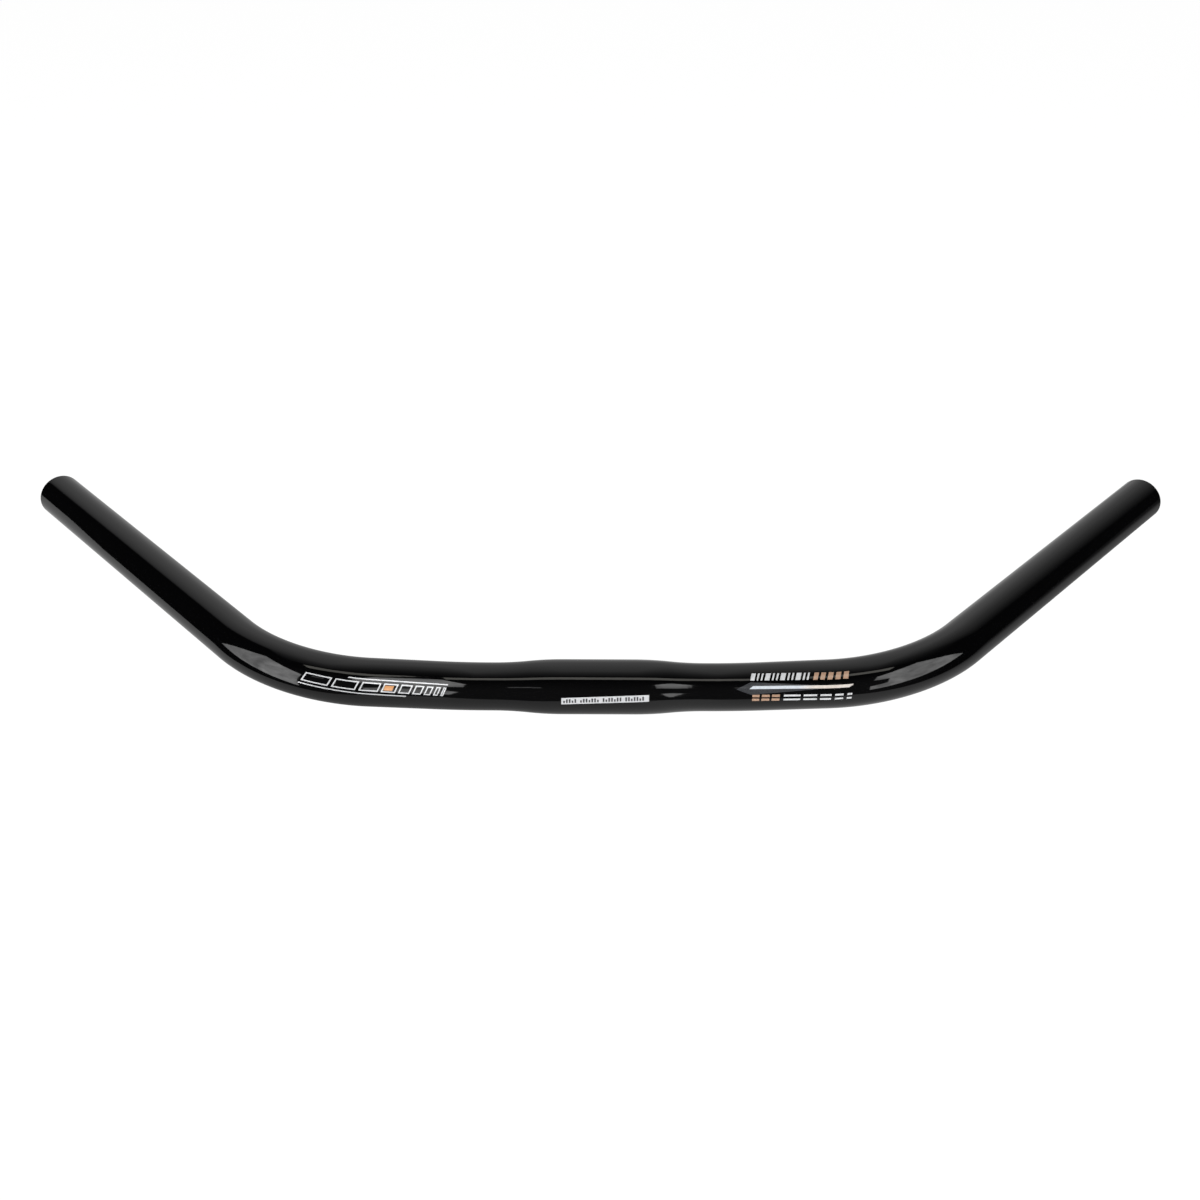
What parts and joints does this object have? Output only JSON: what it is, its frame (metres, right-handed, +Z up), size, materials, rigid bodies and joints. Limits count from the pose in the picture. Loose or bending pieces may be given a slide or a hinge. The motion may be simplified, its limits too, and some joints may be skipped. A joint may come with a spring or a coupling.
{
  "type": "cruiser handlebar",
  "caption": "Swept-back cruiser handlebar: one bent alloy tube, thicker at the stem clamp, gloss black, with straight level grips and open ends.",
  "frame": {"origin": "centre of the stem clamp, on the tube's axis", "axes": "+X along the clamp to the rider's right-hand side of the bar, +Y back to the rider, +Z up, with both grips level"},
  "size_m": [0.5956, 0.1684, 0.0404],
  "materials": {
    "black_paint": "gloss black paint under a clear coat",
    "bare_alloy": "bare drawn alloy inside the tube and on the chamfer of each mouth",
    "silver_ink": "silver transfer under the clear coat",
    "white_ink": "white transfer film",
    "copper_ink": "copper transfer under the clear coat",
    "orange_ink": "orange transfer under the clear coat"
  },
  "bodies": {
    "root": {"handlebar": "black_paint"}
  },
  "joints": []
}
